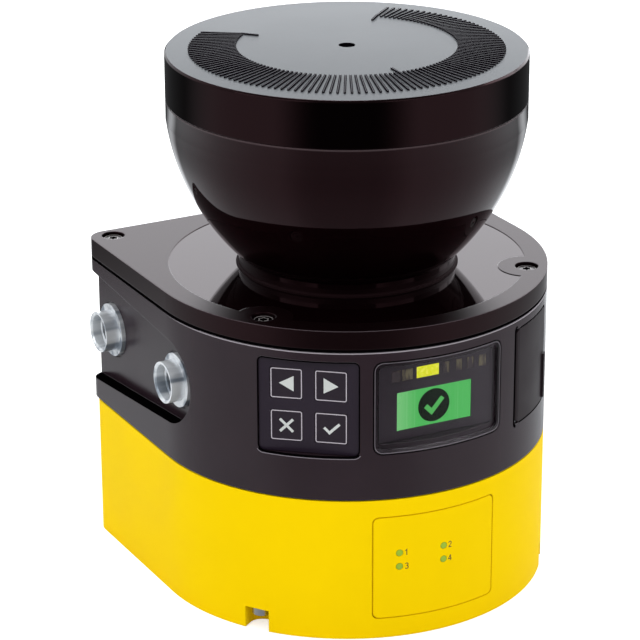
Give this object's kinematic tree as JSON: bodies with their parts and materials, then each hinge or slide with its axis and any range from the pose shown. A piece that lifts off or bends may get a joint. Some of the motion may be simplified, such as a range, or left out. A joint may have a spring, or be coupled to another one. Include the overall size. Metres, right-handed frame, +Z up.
{
  "type": "safety laser scanner",
  "caption": "Compact safety laser scanner: yellow plug unit, dark D-shaped housing with keypad, display and side sockets, and a tinted scanning head under a grey cap with an engraved scale.",
  "frame": {"origin": "on the optical axis, in the plane of the flat underside", "axes": "+Z up along the optical axis, -Y the round front with keypad and display, +Y the flat back, -X the side with the sockets"},
  "size_m": [0.1132, 0.11, 0.1521],
  "materials": {
    "yellow_case": "smooth moulded plastic with a soft sheen",
    "lamp_lens": "clear green light pipe",
    "seal_rubber": "matt",
    "circuit_board": "solder resist",
    "black_plastic": "matt",
    "plug_screw_steel": "plain zinc-plated",
    "dark_case": "satin black powder coat",
    "mechanism_metal": "cast",
    "plated_socket": "bright nickel plate",
    "contact_gold": "gold plated",
    "keypad_frame": "matt membrane panel",
    "key_cap": "matt with a printed pale outline and symbol",
    "display_window": "smoked clear plastic",
    "display_mask": "matt",
    "lit_screen": "backlit green screen",
    "lit_lamp": "lit yellow status light",
    "dim_lamp": "unlit status lights",
    "flap_plastic": "matt",
    "pin_steel": "ground",
    "port_metal": "tinned",
    "optics": "polished infrared-passing plastic, matt on the flange rim",
    "cover_screw_steel": "black oxide",
    "grey_cap": "satin grey",
    "rotor_plastic": "matt black",
    "scan_mirror": "front-surface mirror",
    "lens_glass": "coated lens",
    "laser_brass": "turned"
  },
  "bodies": {
    "housing": {"plug_housing": "yellow_case", "indicator_panel": "yellow_case", "indicator_lamps": "lamp_lens", "plug_seal": "seal_rubber", "plug_board": "circuit_board", "plug_connector": "black_plastic", "plug_screw_left": "plug_screw_steel", "plug_screw_right": "plug_screw_steel", "plug_screw_back_left": "plug_screw_steel", "plug_screw_back_right": "plug_screw_steel", "main_housing": "dark_case", "chassis": "mechanism_metal", "main_board": "circuit_board", "board_connector": "black_plastic", "socket_front": "plated_socket", "socket_rear": "plated_socket", "insert_front": "black_plastic", "insert_rear": "black_plastic", "contacts_front": "contact_gold", "contacts_rear": "contact_gold", "keypad_frame": "keypad_frame", "keypad_board": "circuit_board", "display_window": "display_window", "display_mask": "display_mask", "display_screen": "lit_screen", "status_light": "lit_lamp", "status_lights_off": "dim_lamp", "display_board": "circuit_board", "flap_pin": "pin_steel", "service_port": "port_metal", "flange_seal": "seal_rubber", "optics_cover": "optics", "cover_screw_left": "cover_screw_steel", "cover_screw_right": "cover_screw_steel", "cover_screw_back_left": "cover_screw_steel", "cover_screw_back_right": "cover_screw_steel", "top_cap": "grey_cap", "motor": "mechanism_metal", "motor_bearing": "pin_steel", "receiver_barrel": "black_plastic", "receiver_lens": "lens_glass", "laser_tube": "laser_brass"},
    "scan_rotor": {"rotor": "rotor_plastic", "scan_mirror": "scan_mirror"},
    "flap": {"port_flap": "flap_plastic"},
    "key_back_body": {"key_back": "key_cap"},
    "key_next_body": {"key_next": "key_cap"},
    "key_cancel_body": {"key_cancel": "key_cap"},
    "key_confirm_body": {"key_confirm": "key_cap"}
  },
  "joints": [
    {"name": "mirror_spin", "type": "hinge", "parent": "housing", "child": "scan_rotor", "pos_m": [0, 0, 0.0664], "axis": [0, 0, 1], "continuous": true},
    {"name": "flap_hinge", "type": "hinge", "parent": "housing", "child": "flap", "pos_m": [0.02556, -0.04844, 0.0672], "axis": [0, 0, -1], "range_deg": [0, 95]},
    {"name": "key_back_press", "type": "slide", "parent": "housing", "child": "key_back_body", "axis": [0.6347, 0.7727, 0], "range_m": [0, 0.0004], "stiffness_N_per_m": 300},
    {"name": "key_next_press", "type": "slide", "parent": "housing", "child": "key_next_body", "axis": [0.6347, 0.7727, 0], "range_m": [0, 0.0004], "stiffness_N_per_m": 300},
    {"name": "key_cancel_press", "type": "slide", "parent": "housing", "child": "key_cancel_body", "axis": [0.6347, 0.7727, 0], "range_m": [0, 0.0004], "stiffness_N_per_m": 300},
    {"name": "key_confirm_press", "type": "slide", "parent": "housing", "child": "key_confirm_body", "axis": [0.6347, 0.7727, 0], "range_m": [0, 0.0004], "stiffness_N_per_m": 300}
  ]
}
